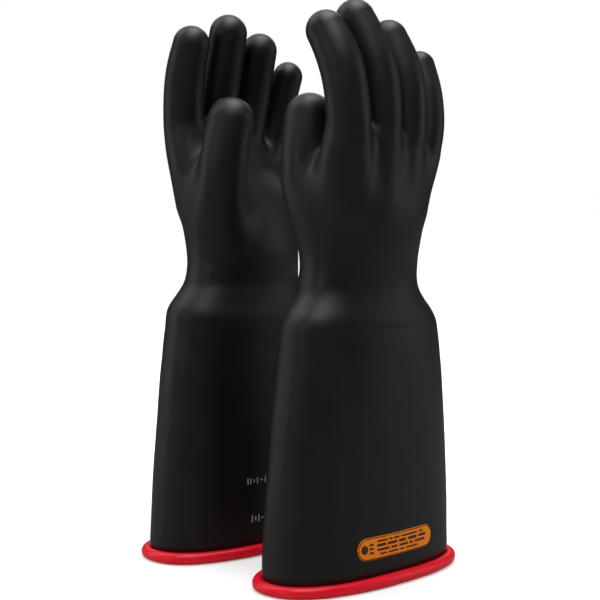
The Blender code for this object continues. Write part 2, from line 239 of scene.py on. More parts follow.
class Digit:
    """A finger or thumb: a round tube of changing radius along a centre-line."""

    def __init__(self, points, radii):
        self.curve = Spline(points)
        self.last = len(points) - 1
        self.places = np.linspace(0, self.last, 400)
        line = self.curve.at(self.places)
        raw = monotone(self.places, np.arange(self.last + 1, dtype=float),
                       np.array(radii, float))
        self.radii = evened(raw, 40, 16.0)
        self.samples, self.sample_places = line[::21], self.places[::21]
        self.low, self.high = line.min(0) - 32, line.max(0) + 32

    def foot(self, points):
        """Parameter of the nearest point of the centre-line, by Newton's method."""
        c = self.samples
        squared = (c * c).sum(1)[None] - 2 * points @ c.T
        t = self.sample_places[squared.argmin(1)]
        for _ in range(3):
            offset = self.curve.at(t) - points
            slope, bend = self.curve.at(t, 1), self.curve.at(t, 2)
            miss = dot(offset, slope)
            rate = dot(slope, slope) + dot(offset, bend)
            t = np.clip(t - np.clip(miss / np.maximum(rate, 50), -0.2, 0.2), 0, self.last)
        return t

    def field(self, points):
        """Distance from the tube, negative inside; a flat 60 far away from it."""
        out = np.full(len(points), 60.0)
        near = np.where(np.all((points > self.low) & (points < self.high), axis=1))[0]
        if len(near):
            close = points[near]
            t = self.foot(close)
            offset = self.curve.at(t) - close
            out[near] = np.sqrt(dot(offset, offset)) - np.interp(t, self.places, self.radii)
        return out


DIGIT = {name: Digit(*shape) for name, shape in DIGITS.items()}


def smooth_min(first, second, width):
    h = np.clip(0.5 + 0.5 * (second - first) / width, 0, 1)
    return second + (first - second) * h - width * h * (1 - h)


@lru_cache(maxsize=None)
def wave_set(wavelength, seed):
    """Directions (scaled to wave numbers) and phases of six sines."""
    count = 6
    rng = np.random.RandomState(seed)
    wave = rng.normal(size=(count, 3))
    wave /= np.linalg.norm(wave, axis=1, keepdims=True)
    wave *= (2 * np.pi / (wavelength * rng.uniform(0.7, 1.5, count)))[:, None]
    return wave.T.copy(), rng.uniform(0, 6.28, count)


def waves(points, wavelength, seed):
    """Smooth repeatable noise, about -1..1: a sum of sines in scattered directions."""
    wave, phase = wave_set(wavelength, seed)
    return np.sin(points @ wave + phase).sum(1) / len(phase)**0.5 / 1.6


def blob(points, centre, size):
    offset = (points - np.array(centre)) / np.array(size)
    return np.exp(-0.5 * (offset * offset).sum(1))


def dip(points, side):
    """Small swellings of the rubber, mm: broad waviness, runs, a dent and creases."""
    z = points[:, 2]
    out = 0.22 * waves(points, 46, 11 + side) + 0.05 * waves(points, 15, 23 + side)
    # upright ripples on the cuff, stretched along z
    cuff = ramp(z, 8, 30) * (1 - ramp(z, 146, 14))
    out = out + 0.13 * cuff * waves(points * np.array([1.0, 1.0, 0.10]), 17, 37 + side)
    # the wall draws in where it rolls into the bead
    out = out - 1.1 * np.exp(-(((z - 6.6) / 2.4) ** 2))
    if side > 0:        # shallow creases under the shoulder
        out = out - 0.80 * blob(points, centre=(28, -24, 157), size=(8, 13, 2.2))
        return out - 0.30 * blob(points, centre=(29, 12, 158), size=(8, 12, 1.8))
    # a drawn run down the cuff
    return out - 0.30 * blob(points, centre=(13, -57, 138), size=(5, 2.2, 15))


def glove_field(points, side):
    """The whole glove: zero on the surface, positive outside. Blends tighten with height."""
    z = points[:, 2]
    fingers = DIGIT[FINGERS[0]].field(points)
    for name in FINGERS[1:]:
        fingers = smooth_min(fingers, DIGIT[name].field(points), 7.0 - 5.0 * ramp(z, 262, 24))
    glove = smooth_min(body_field(points), fingers, 12.0 - 5.0 * ramp(z, 270, 20))
    glove = smooth_min(glove, DIGIT["thumb"].field(points), 13.0 - 4.0 * ramp(z, 248, 20))
    return glove - dip(points, side)


# ------------------------------------------------------------------------------------------
# From field to quad mesh
# ------------------------------------------------------------------------------------------
POOL = ThreadPoolExecutor(4)


def spread_out(field, points):
    """Evaluates the field in slices, several at a time."""
    if len(points) < 4000:
        return field(points)
    slices = np.array_split(points, max(4, len(points) // 12000))
    return np.concatenate(list(POOL.map(field, slices)))


def gradient(field, points, step, base=None):
    """Gradient and its length: one-sided from the values in base, else central."""
    steps = np.eye(3) * step
    if base is not None:
        rise = [spread_out(field, points + s) - base for s in steps]
        grad = np.stack(rise, 1) / step
    else:
        rise = [spread_out(field, points + s) - spread_out(field, points - s) for s in steps]
        grad = np.stack(rise, 1) / (2 * step)
    return grad, np.linalg.norm(grad, axis=1, keepdims=True) + 1e-9


def sampled(field, shape, low, pitch, block=5):
    """Field on a grid, exact in blocks near the surface and only signed far from it."""
    blocks = np.ceil(shape / block).astype(int)
    axes = [low[i] + pitch * (np.arange(blocks[i]) * block + (block - 1) / 2)
            for i in range(3)]
    centres = np.stack(np.meshgrid(*axes, indexing="ij"), -1).reshape(-1, 3)
    coarse = spread_out(field, centres)
    near = np.abs(coarse) < pitch * block * 0.87 * 1.6 + 1.5
    full = np.where(coarse < 0, -9.0, 9.0).reshape(blocks)
    for axis in range(3):
        full = np.repeat(full, block, axis)
    starts = np.argwhere(near.reshape(blocks)) * block
    inside = np.stack(np.meshgrid(*[np.arange(block)] * 3, indexing="ij"), -1).reshape(-1, 3)
    cells = (starts[:, None, :] + inside[None]).reshape(-1, 3)
    full[tuple(cells.T)] = spread_out(field, np.array(low) + pitch * cells)
    return full[:shape[0], :shape[1], :shape[2]]


def surface_nets(field, low, high, pitch):
    """Quad mesh of field = 0 on a regular grid: a vertex per crossed cell."""
    shape = np.ceil((np.array(high) - np.array(low)) / pitch).astype(int) + 1
    values = sampled(field, shape, low, pitch)
    negative = values < 0
    corners = [(i, j, k) for i in (0, 1) for j in (0, 1) for k in (0, 1)]
    size = shape - 1

    def at_corner(i, j, k):
        return negative[i:i + size[0], j:j + size[1], k:k + size[2]].astype(np.int8)

    count = sum(at_corner(*corner) for corner in corners)
    mixed = (count > 0) & (count < 8)
    cells = np.argwhere(mixed)
    index = np.full(size, -1, np.int64)
    index[mixed] = np.arange(len(cells))
    # each vertex is the mean of the crossings on its cell's edges
    total, weight = np.zeros((len(cells), 3)), np.zeros(len(cells))
    for start in corners:
        for axis in range(3):
            if start[axis]:
                continue
            end = list(start)
            end[axis] = 1
            first = values[tuple((cells + np.array(start)).T)]
            second = values[tuple((cells + np.array(end)).T)]
            cross = (first < 0) != (second < 0)
            t = np.where(cross, first / np.where(cross, first - second, 1), 0)
            place = np.array(start, float)[None] + np.eye(3)[axis][None] * t[:, None]
            total += np.where(cross[:, None], place, 0)
            weight += cross
    verts = np.array(low) + pitch * (cells + total / weight[:, None])
    # each crossed grid edge gives the quad of the four cells round it
    quads = []
    for axis in range(3):
        side1, side2 = (axis + 1) % 3, (axis + 2) % 3
        lower, upper = [slice(None)] * 3, [slice(None)] * 3
        lower[axis], upper[axis] = slice(0, -1), slice(1, None)
        below = negative[tuple(lower)]
        edges = np.argwhere(below != negative[tuple(upper)])
        flip = below[tuple(edges.T)]
        whole = ((edges[:, side1] > 0) & (edges[:, side2] > 0)
                 & (edges[:, side1] < size[side1]) & (edges[:, side2] < size[side2]))
        edges, flip = edges[whole], flip[whole]
        step1, step2 = np.eye(3, dtype=int)[side1], np.eye(3, dtype=int)[side2]
        quad = np.stack([index[tuple((edges - step).T)]
                         for step in (step1 + step2, step2, 0 * step1, step1)], 1)
        quad[~flip] = quad[~flip][:, ::-1]
        quads.append(quad)
    return verts, np.concatenate(quads)


def relax(field, verts, quads, rounds, fixed):
    """Evens the quads along the surface and puts every vertex back on it.

    Fixed vertices are not evened. Returns vertices and unit normals."""
    edges = np.concatenate([quads[:, [k, (k + 1) % 4]] for k in range(4)])
    edges = np.unique(np.sort(edges, axis=1), axis=0)
    degree = np.bincount(edges.ravel(), minlength=len(verts))[:, None].clip(1)

    def settle(verts):
        values = spread_out(field, verts)
        grad, length = gradient(field, verts, 0.05, values)
        return verts - np.clip(values / length[:, 0], -1.5, 1.5)[:, None] * grad / length

    for _ in range(rounds):
        total = np.zeros_like(verts)
        np.add.at(total, edges[:, 0], verts[edges[:, 1]])
        np.add.at(total, edges[:, 1], verts[edges[:, 0]])
        step = total / degree - verts
        step[fixed] = 0
        verts = settle(verts + 0.6 * step)
    verts = settle(settle(verts))
    grad, length = gradient(field, verts, 0.15)
    return verts, grad / length


def compact(quads):
    """The vertices that the quads use, and the quads renumbered to them."""
    used, quads = np.unique(quads, return_inverse=True)
    return used, quads.reshape(-1, 4)


def open_edges(quads):
    """Directed edges that belong to one quad only."""
    edges = np.stack([quads, np.roll(quads, -1, axis=1)], -1).reshape(-1, 2)
    _, inverse, count = np.unique(np.sort(edges, axis=1), axis=0,
                                  return_inverse=True, return_counts=True)
    return edges[count[inverse.ravel()] == 1]


# ------------------------------------------------------------------------------------------
# Objects
# ------------------------------------------------------------------------------------------
COLLECTION = bpy.data.collections.new("insulating_gloves")
bpy.context.scene.collection.children.link(COLLECTION)


def label_of(side):
    return "right_" if side > 0 else "left_"


def world(points, side):
    """Glove millimetres to metres in the frame of the pair."""
    p = np.array(points, float)
    return np.stack([side * (GLOVE_X + p[..., 0]), p[..., 1], p[..., 2]], -1) * MM


def make_object(name, verts, faces, side, materials, face_materials=None, loop_normals=None,
                smooth=True):
    """verts in glove mm, also kept as rest_co; faces an (n, 4) array or a list of polygons."""
    mesh = bpy.data.meshes.new(name)
    placed = world(verts, side)
    if isinstance(faces, np.ndarray):
        mesh.vertices.add(len(placed))
        mesh.vertices.foreach_set("co", np.asarray(placed, np.float32).ravel())
        mesh.loops.add(faces.size)
        mesh.loops.foreach_set("vertex_index", faces.astype(np.int32).ravel())
        mesh.polygons.add(len(faces))
        mesh.polygons.foreach_set("loop_start", np.arange(0, faces.size, 4, dtype=np.int32))
        mesh.update(calc_edges=True)
    else:
        mesh.from_pydata([tuple(x) for x in placed], [], faces)
    mesh.validate()
    for material in materials:
        mesh.materials.append(material)
    if face_materials is not None:
        mesh.polygons.foreach_set("material_index", np.asarray(face_materials, np.int32))
    mesh.polygons.foreach_set("use_smooth", np.full(len(mesh.polygons), smooth))
    rest = mesh.attributes.new("rest_co", "FLOAT_VECTOR", "POINT")
    rest.data.foreach_set("vector", np.asarray(verts * MM, np.float32).ravel())
    if loop_normals is not None:
        mesh.normals_split_custom_set(loop_normals.tolist())
    mesh.update()
    obj = bpy.data.objects.new(name, mesh)
    COLLECTION.objects.link(obj)
    return obj


def outward(obj):
    """Turns the faces of a closed mesh outwards."""
    bm = bmesh.new()
    bm.from_mesh(obj.data)
    bmesh.ops.recalc_face_normals(bm, faces=bm.faces)
    if bm.calc_volume(signed=True) < 0:
        bmesh.ops.reverse_faces(bm, faces=bm.faces)
    bm.to_mesh(obj.data)
    bm.free()


# ------------------------------------------------------------------------------------------
# Glove skin, parted into the hand with its cuff and two lengths for each digit
# ------------------------------------------------------------------------------------------
GRID_LOW, GRID_HIGH = (-42.3, -80.0, -6.0), (48.0, 80.0, 366.0)
CUFF_CUT = 0.4          # quads that reach below this are dropped
CUFF_EDGE = 1.2         # height of the open cuff edge
RED_RIM_TOP = 8         # a rim below this is the cuff edge
WRIST_BLEND = ((0, 0, 186), (0, 0, 214))

# For each digit: seam, blend start and blend end along its axis, mm, first from the knuckle
# flex line (base piece), then from the middle one (tip piece)
SPANS = {
    "index": ((4.4, 5.6, 20.4), (-9.0, -7.8, 14.4)),
    "middle": ((4.4, 5.6, 20.4), (-9.0, -7.8, 14.4)),
    "ring": ((4.4, 5.6, 18.6), (-9.0, -7.8, 13.6)),
    "little": ((3.6, 4.8, 13.4), (-8.4, -7.2, 10.2)),
    "thumb": ((-9.0, -7.8, 12.0), (-8.0, -6.8, 8.4)),
}


def skin_piece(name, verts, normals, quads, side):
    """A closed length of wall: black face outside, red face WALL further in, and rims."""
    used, quads = compact(quads)
    verts, normals = verts[used], normals[used]
    count = len(verts)
    rim = open_edges(quads)
    rim = np.stack([rim[:, 1], rim[:, 0], rim[:, 0] + count, rim[:, 1] + count], 1)
    verts = np.concatenate([verts, verts - WALL * normals])
    faces = np.concatenate([quads, quads[:, ::-1] + count, rim])
    if side < 0:
        faces = faces[:, ::-1]
    normals = np.concatenate([normals, -normals]) * np.array([side, 1.0, 1.0])
    loops = normals[faces.ravel()]
    # rims are shaded flat
    corner = world(verts, side)[faces[-len(rim):]]
    flat = np.cross(corner[:, 2] - corner[:, 0], corner[:, 3] - corner[:, 1])
    flat /= np.linalg.norm(flat, axis=1, keepdims=True) + 1e-12
    loops[-4 * len(rim):] = np.repeat(flat, 4, axis=0)
    # the cuff edge shows the red ply, a parted rim does not
    kind = np.zeros(len(faces), int)
    kind[len(quads):2 * len(quads)] = 1
    kind[2 * len(quads):][verts[rim][:, :, 2].mean(1) < RED_RIM_TOP] = 1
    return make_object(name, verts, faces, side, (OUTER, INNER), kind, loops)


def axis_at(name, place):
    """Point and unit direction of a digit's centre-line."""
    curve, place = DIGIT[name].curve, np.array([float(place)])
    point, along = curve.at(place)[0], curve.at(place, 1)[0]
    return point, along / np.linalg.norm(along)


def glove_mesh(side):
    """Vertices, unit normals and outward quads of the outer surface, open at the cuff."""
    def field(points):
        return glove_field(points, side)

    verts, quads = surface_nets(field, GRID_LOW, GRID_HIGH, VOXEL)
    used, quads = compact(quads[verts[quads][:, :, 2].min(1) > CUFF_CUT])
    verts = verts[used]
    edge = np.unique(open_edges(quads))
    verts[edge, 2] = CUFF_EDGE
    verts, normals = relax(field, verts, quads, rounds=2, fixed=edge)
    verts[edge, 2] = CUFF_EDGE
    c = verts[quads]
    if dot(np.cross(c[:, 2] - c[:, 0], c[:, 3] - c[:, 1]), normals[quads[:, 0]]).sum() < 0:
        quads = quads[:, ::-1]
    return verts, normals, quads


def build_glove(side):
    verts, normals, quads = glove_mesh(side)
    centres = verts[quads].mean(1)
    distance = np.stack([spread_out(DIGIT[name].field, centres) for name in DIGITS])
    nearest = distance.argmin(0)
    # 0 is the hand, then a base and a tip number for each digit
    region = np.zeros(len(quads), int)
    for i, name in enumerate(DIGITS):
        above = (nearest == i) & (distance[i] < 4)
        for part, flex in enumerate((KNUCKLE, MIDDLE)):
            point, along = axis_at(name, flex)
            above = above & ((centres - point) @ along > SPANS[name][part][0])
            region[above] = 1 + part + 2 * i
    glove = label_of(side)
    hand = skin_piece(glove + "glove_skin", verts, normals, quads[region == 0], side)
    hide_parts(glove + "gauntlet_shell", glove + "gauntlet_liner",
                glove + "hand_shell", glove + "hand_liner")
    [tuple(world(point, side)) for point in WRIST_BLEND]
    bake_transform(hand)
    for i, name in enumerate(DIGITS):
        parts = (("base", KNUCKLE, "hand", name + "_base"),
                 ("tip", MIDDLE, name + "_base", name + "_tip"))
        for k, (part, flex, first, second) in enumerate(parts):
            piece = f"{glove}{name}_{part}"
            obj = skin_piece(piece + "_skin", verts, normals, quads[region == 1 + k + 2 * i],
                             side)
            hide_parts(piece + "_shell", piece + "_liner")
            point, along = axis_at(name, flex)
            _, start, end = SPANS[name][k]
            tuple(world(point + along * start, side))
            tuple(world(point + along * end, side))
            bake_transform(obj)


# ------------------------------------------------------------------------------------------
# Rolled bead
# ------------------------------------------------------------------------------------------
BEAD_HALF_X, BEAD_HALF_Y, BEAD_POWER = 34.9, 75.6, 2.4      # its superelliptic centre-line
BEAD_RADIUS, BEAD_Z = 3.9, 3.5
BEAD_REACH_IN = 3.75
BEAD_COUNT, BEAD_AROUND = 420, 40
# Unevenness along the bead: amount in mm, cycles per round, phase
BEAD_SWELL = ((0.10, 3, 0.7), (0.07, 7, 2), (0.04, 17, 4))
BEAD_LIFT = ((0.10, 2, 1), (0.07, 5, 0))


def ring_points(half_x, half_y, power, count):
    """Evenly spaced points on a superellipse, outward normals, and distances along it."""
    t = np.linspace(0, 2 * np.pi, 4001)
    x = half_x * np.sign(np.cos(t)) * np.abs(np.cos(t)) ** (2 / power)
    y = half_y * np.sign(np.sin(t)) * np.abs(np.sin(t)) ** (2 / power)
    run = np.concatenate([[0], np.cumsum(np.hypot(np.diff(x), np.diff(y)))])
    distance = np.linspace(0, run[-1], count, endpoint=False)
    x, y = (evened(np.interp(distance, run, c), 12, 4.0, ends="wrap") for c in (x, y))
    along_x, along_y = (np.roll(c, -1) - np.roll(c, 1) for c in (x, y))
    length = np.hypot(along_x, along_y)
    return x, y, along_y / length, -along_x / length, distance


def build_bead(side):
    """The cuff rolled outwards: a round, slightly uneven roll with a crease low outside."""
    x, y, normal_x, normal_y, distance = ring_points(BEAD_HALF_X, BEAD_HALF_Y, BEAD_POWER,
                                                     BEAD_COUNT)
    total = distance[-1] + (distance[1] - distance[0])
    turn = 2 * np.pi * distance / total
    shift = 1.1 * (side > 0)        # so that the two beads differ

    def uneven(terms):
        return sum(amount * np.sin(cycles * turn + phase + shift)
                   for amount, cycles, phase in terms)[:, None]

    angle = np.linspace(0, 2 * np.pi, BEAD_AROUND, endpoint=False)
    crease = 0.055 * np.exp(-0.5 * ((angle - 5.35) / 0.10) ** 2)
    lip = 0.012 * np.exp(-0.5 * ((angle - 5.75) / 0.22) ** 2)
    profile = (BEAD_RADIUS + uneven(BEAD_SWELL)) * (1 - crease + lip)
    # flat where it stands, with a slightly raised middle
    z = np.maximum(BEAD_Z + profile * np.sin(angle) + uneven(BEAD_LIFT) * 0.5, 0.0)
    low = np.clip((0.9 - z) / 0.9, 0, 1)
    z = z + 0.16 * low * low
    out = np.maximum(profile * np.cos(angle), -BEAD_REACH_IN)
    verts = np.stack([x[:, None] + normal_x[:, None] * out,
                      y[:, None] + normal_y[:, None] * out, z], -1).reshape(-1, 3)
    i, j = np.meshgrid(np.arange(BEAD_COUNT), np.arange(BEAD_AROUND), indexing="ij")
    here, ahead = i * BEAD_AROUND, (i + 1) % BEAD_COUNT * BEAD_AROUND
    above = (j + 1) % BEAD_AROUND
    faces = np.stack([here + j, ahead + j, ahead + above, here + above], -1).reshape(-1, 4)
    if side < 0:
        faces = faces[:, ::-1]
    glove = label_of(side)
    obj = make_object(glove + "cuff_bead", verts, faces, side, (BEAD,))
    outward(obj)
    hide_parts(glove + "rolled_bead")
    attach(obj, glove + "gauntlet")


# ------------------------------------------------------------------------------------------
# Thin pieces that follow the cuff. Their outlines are (y, z) points; "facing" is +1 on the
# back of the cuff and -1 on its palm side.
# ------------------------------------------------------------------------------------------
def on_cuff(outline, side, facing, height):
    """Outline points set at a height above the wall of the cuff."""
    y, z = outline[:, 0], outline[:, 1]
    x = np.full(y.shape, facing * 31.0)
    for _ in range(4):
        points = np.stack([x, y, z], 1)
        x = x - facing * np.clip(body_field(points) - dip(points, side), -3, 3)
    return np.stack([x + facing * height, y, z], 1)


def oblong(centre_y, centre_z, width, height, corner, count):
    """Rounded oblong as a function of its inset; starts at the -y end, goes over the top."""
    def outline(inset):
        radius = max(corner - inset, 0.05)
        half_w, half_h = width / 2 - inset - radius, height / 2 - inset - radius
        rise = max(half_h, 0)
        arc = np.pi / 2 * radius
        length = 2 * (arc + rise) + 2 * max(half_w, 0)
        upper = []
        for share in np.linspace(0, 1, count // 2):
            run = share * length
            if run < rise:
                x, y = -half_w - radius, run
            elif run < rise + arc:
                angle = np.pi - (run - rise) / radius
                x, y = -half_w + radius * np.cos(angle), half_h + radius * np.sin(angle)
            elif run < rise + arc + 2 * half_w:
                x, y = -half_w + run - rise - arc, half_h + radius
            elif run < rise + 2 * arc + 2 * half_w:
                angle = np.pi / 2 - (run - rise - arc - 2 * half_w) / radius
                x, y = half_w + radius * np.cos(angle), half_h + radius * np.sin(angle)
            else:
                x, y = half_w + radius, half_h - (run - rise - 2 * arc - 2 * half_w)
            upper.append((x, y))
        upper = np.array(upper)
        lower = upper[::-1] * np.array([1, -1])
        # keeps the two halves apart where they meet
        upper[:, 1] += 0.02
        lower[:, 1] -= 0.02
        return np.concatenate([upper, lower]) + np.array([centre_y, centre_z])
    return outline


def sheet(name, outline, side, facing, base, thick, insets, material):
    """A thin closed pad with a rounded edge; insets are those of its two upper rings."""
    rows = [(outline(0.0), 0.0), (outline(0.0), 0.45 * thick),
            (outline(insets[0]), 0.86 * thick), (outline(insets[1]), thick)]
    count = len(rows[0][0])
    half = count // 2
    layers = 6
    verts, faces = [], []

    def put(points, height):
        start = sum(len(x) for x in verts)
        verts.append(on_cuff(points, side, facing, base + height))
        return start

    def stitch(first, second):
        """Quads between two lines, or triangles where they share an end."""
        for k in range(half - 1):
            corners = (first[k], first[k + 1], second[k + 1], second[k])
            faces.append(tuple(dict.fromkeys(corners)))

    def cap(start, ring, height):
        """Strips across the pad, so that its face follows the curve of the cuff."""
        top, bottom = ring[:half], ring[::-1][:half]
        previous = [start + k for k in range(half)]
        last = [start + count - 1 - k for k in range(half)]
        for layer in range(1, layers):
            line = top + (bottom - top) * (layer / layers)
            new = put(line[1:-1], height)
            row = [previous[0], *range(new, new + half - 2), previous[-1]]
            stitch(previous, row)
            previous = row
        stitch(previous, last)

    starts = [put(*row) for row in rows]
    for low, high in zip(starts, starts[1:]):
        for i in range(count):
            j = (i + 1) % count
            faces.append((low + i, low + j, high + j, high + i))
    cap(starts[-1], *rows[-1])
    cap(starts[0], *rows[0])
    obj = make_object(name, np.concatenate(verts), faces, side, (material,))
    outward(obj)
    return obj


def band(name, outer, inner, side, base, thick, material):
    """A thin raised loop between two outlines on the back of the cuff."""
    rows = [(outer, 0.0), (outer, thick), (inner, thick), (inner, 0.0)]
    verts = np.concatenate([on_cuff(ring, side, 1, base + height) for ring, height in rows])
    count = len(outer)
    faces = []
    for row in range(4):
        low, high = row * count, ((row + 1) % 4) * count
        for i in range(count):
            j = (i + 1) % count
            faces.append((low + i, low + j, high + j, high + i))
    obj = make_object(name, verts, faces, side, (material,), smooth=False)
    outward(obj)
    return obj


# Label on the back of the cuff
LABEL_Y, LABEL_Z, LABEL_WIDTH, LABEL_HEIGHT, LABEL_CORNER = 2.0, 25.0, 67.6, 13.8, 7.0
LABEL_BASE, LABEL_THICK = 0.12, 0.62
BORDER_INSETS = (0.30, 0.85)
MARK_BASE = LABEL_BASE + LABEL_THICK - 0.04     # sunk a little into the pad
MARKS_FROM = LABEL_Y - 35.0                     # where the marks below are measured from
DISC_Y, DISC_SIZE = 6.4, 5.4
BAR_Y, BAR_WIDTH, BAR_HEIGHT, BAR_PITCH = 11.9, 3.6, 1.3, 2.5
# Rows of dashes: height above the middle of the label, dash height, (start, width) of each
DASH_ROWS = (
    (4.05, 1.15, ((16.4, 9.5), (26.9, 3.0), (31.0, 5.0), (37.2, 16.5), (54.9, 4.4))),
    (1.45, 1.75, ((16.4, 8.0), (25.6, 8.6), (35.6, 6.6), (44.0, 9.0), (54.4, 7.6))),
    (-1.35, 1.45, ((16.4, 11.0), (28.6, 5.6), (35.8, 8.2), (45.6, 3.2), (50.4, 11.0))),
    (-3.95, 1.05, ((18.6, 6.2), (25.8, 9.4), (36.2, 4.4), (41.6, 12.2))),
)
# Ink ticks on the palm side of the left cuff: row height, (y, width, height) of each
TICK_ROWS = (
    (50.0, ((-22.6, 0.8, 4.2), (-20.4, 0.8, 4.2), (-17.6, 0.8, 2.2), (-14.8, 0.8, 4.2),
            (-11.4, 1.9, 0.9), (-8.0, 0.8, 4.2))),
    (24.5, ((-19.2, 0.9, 4.8), (-16.4, 0.9, 3.0), (-13.6, 0.9, 4.8), (-10.4, 2.2, 0.9),
            (-7.2, 0.9, 4.8), (-4.4, 0.9, 4.8))),
)


def label_outline(count):
    return oblong(LABEL_Y, LABEL_Z, LABEL_WIDTH, LABEL_HEIGHT, LABEL_CORNER, count)


def label_marks(side):
    """A border line, a disc with a stack of short bars beside it, and rows of dashes."""
    name = label_of(side) + "label_mark_"
    border = label_outline(160)
    marks = [band(name + "00", *(border(inset) for inset in BORDER_INSETS), side,
                  base=MARK_BASE, thick=0.07, material=PRINT)]
    outlines = [oblong(MARKS_FROM + DISC_Y, LABEL_Z, DISC_SIZE, DISC_SIZE,
                       corner=DISC_SIZE / 2, count=64)]
    for rise in (BAR_PITCH, 0.0, -BAR_PITCH):
        outlines.append(oblong(MARKS_FROM + BAR_Y, LABEL_Z + rise, BAR_WIDTH, BAR_HEIGHT,
                               corner=0.3, count=24))
    for rise, height, dashes in DASH_ROWS:
        for start, width in dashes:
            outlines.append(oblong(MARKS_FROM + start + width / 2, LABEL_Z + rise, width,
                                   height, corner=0.35, count=24))
    for number, outline in enumerate(outlines, 1):
        marks.append(sheet(f"{name}{number:02d}", outline, side, facing=1, base=MARK_BASE,
                           thick=0.08, insets=(0.03, 0.08), material=PRINT))
    return marks


def build_label(side):
    """An orange rubber oblong on the back of the cuff with raised printed marks."""
    glove = label_of(side)
    pad = sheet(glove + "label_pad", label_outline(120), side, facing=1, base=LABEL_BASE,
                thick=LABEL_THICK, insets=(0.35, 0.8), material=LABEL)
    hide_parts(glove + "class_label")
    marks = label_marks(side)
    for obj in (pad, *marks):
        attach(obj, glove + "gauntlet")


def build_ticks():
    ticks = [(y, z, width, height) for z, row in TICK_ROWS for y, width, height in row]
    for number, place in enumerate(ticks):
        obj = sheet(f"left_ink_tick_{number:02d}", oblong(*place, corner=0.35, count=32),
                    side=-1, facing=-1, base=0.0, thick=0.07, insets=(0.02, 0.06),
                    material=INK)
        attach(obj, "left_gauntlet")


# ------------------------------------------------------------------------------------------
# Materials. Noise scales are per metre of rest_co, bump distances in metres.
# ------------------------------------------------------------------------------------------
class Surface:
    """A material with one Principled shader and helpers to feed it."""

    def __init__(self, name):
        self.material = bpy.data.materials.new(name)
        self.material.use_nodes = True
        self.tree = self.material.node_tree
        self.tree.nodes.clear()
        output = self.node("OutputMaterial")
        self.shader = self.node("BsdfPrincipled")
        self.feed(output.inputs["Surface"], self.shader.outputs[0])

    def node(self, kind):
        return self.tree.nodes.new("ShaderNode" + kind)

    def feed(self, socket, value):
        """Links an output to the socket, or sets its value."""
        if isinstance(value, bpy.types.NodeSocket):
            self.tree.links.new(value, socket)
        else:
            socket.default_value = value

    def set(self, name, value):
        self.feed(self.shader.inputs[name], value)

    def use_rest(self):
        attribute = self.node("Attribute")
        attribute.attribute_type = "GEOMETRY"
        attribute.attribute_name = "rest_co"
        self.rest = attribute.outputs["Vector"]

    def noise(self, scale, detail=2.0, rough=0.5, stretch=None):
        vector = self.rest
        if stretch is not None:
            mapping = self.node("Mapping")
            mapping.inputs["Scale"].default_value = stretch
            self.feed(mapping.inputs["Vector"], vector)
            vector = mapping.outputs[0]
        noise = self.node("TexNoise")
        noise.inputs["Scale"].default_value = scale
        noise.inputs["Detail"].default_value = detail
        noise.inputs["Roughness"].default_value = rough
        self.feed(noise.inputs["Vector"], vector)
        return noise.outputs["Fac"]

    def remap(self, value, to=(0.0, 1.0), source=(0.3, 0.7)):
        node = self.node("MapRange")
        for prefix, limits in (("From ", source), ("To ", to)):
            for end, limit in zip(("Min", "Max"), limits):
                node.inputs[prefix + end].default_value = limit
        self.feed(node.inputs["Value"], value)
        return node.outputs[0]

    def math(self, operation, first, second):
        node = self.node("Math")
        node.operation = operation
        self.feed(node.inputs[0], first)
        self.feed(node.inputs[1], second)
        return node.outputs[0]

    def mix(self, factor, first, second):
        """Mixes two colours, each an RGB tuple or an output."""
        node = self.node("Mix")
        node.data_type = "RGBA"
        for name, colour in (("A", first), ("B", second)):
            if isinstance(colour, tuple):
                node.inputs[name].default_value = (*colour, 1)
            else:
                node.inputs[name].default_value = (0, 0, 0, 1)
                self.feed(node.inputs[name], colour)
        self.feed(node.inputs["Factor"], factor)
        return node.outputs["Result"]

    def bump(self, height, strength, distance, under=None):
        node = self.node("Bump")
        node.inputs["Strength"].default_value = strength
        node.inputs["Distance"].default_value = distance
        self.feed(node.inputs["Height"], height)
        if under is not None:
            self.feed(node.inputs["Normal"], under)
        return node.outputs[0]


def rest_surface(name):
    surface = Surface(name)
    surface.use_rest()
    return surface


def outer_rubber():
    """Black satin rubber, faintly mottled, with pale specks and fine vertical runs."""
    s = rest_surface("outer_rubber")
    broad = s.noise(scale=32, detail=3, rough=0.55)
    fine = s.noise(scale=420, detail=3, rough=0.6)
    runs = s.noise(scale=150, stretch=(1, 1, 0.06))
    bloom = s.remap(broad, source=(0.35, 0.75))
    base = s.mix(bloom, (0.0036, 0.0037, 0.0038), (0.0068, 0.0069, 0.0069))
    speck = s.node("TexVoronoi")
    speck.inputs["Scale"].default_value = 95
    s.feed(speck.inputs["Vector"], s.rest)
    dots = s.remap(speck.outputs["Distance"], source=(0.045, 0.085), to=(1.0, 0.0))
    keep = s.remap(s.noise(scale=60, detail=1), source=(0.60, 0.66), to=(0.0, 0.55))
    specks = s.math("MULTIPLY", dots, keep)
    s.set("Base Color", s.mix(specks, base, (0.035, 0.034, 0.033)))
    s.set("Roughness", s.math("ADD", s.remap(broad, to=(0.41, 0.51)),
                              s.remap(fine, to=(-0.02, 0.03))))
    s.set("Specular IOR Level", 0.42)
    normal = s.bump(s.noise(scale=210), strength=0.30, distance=0.00018)
    normal = s.bump(runs, strength=0.25, distance=0.00015, under=normal)
    s.set("Normal", s.bump(fine, strength=0.22, distance=0.00006, under=normal))
    return s.material


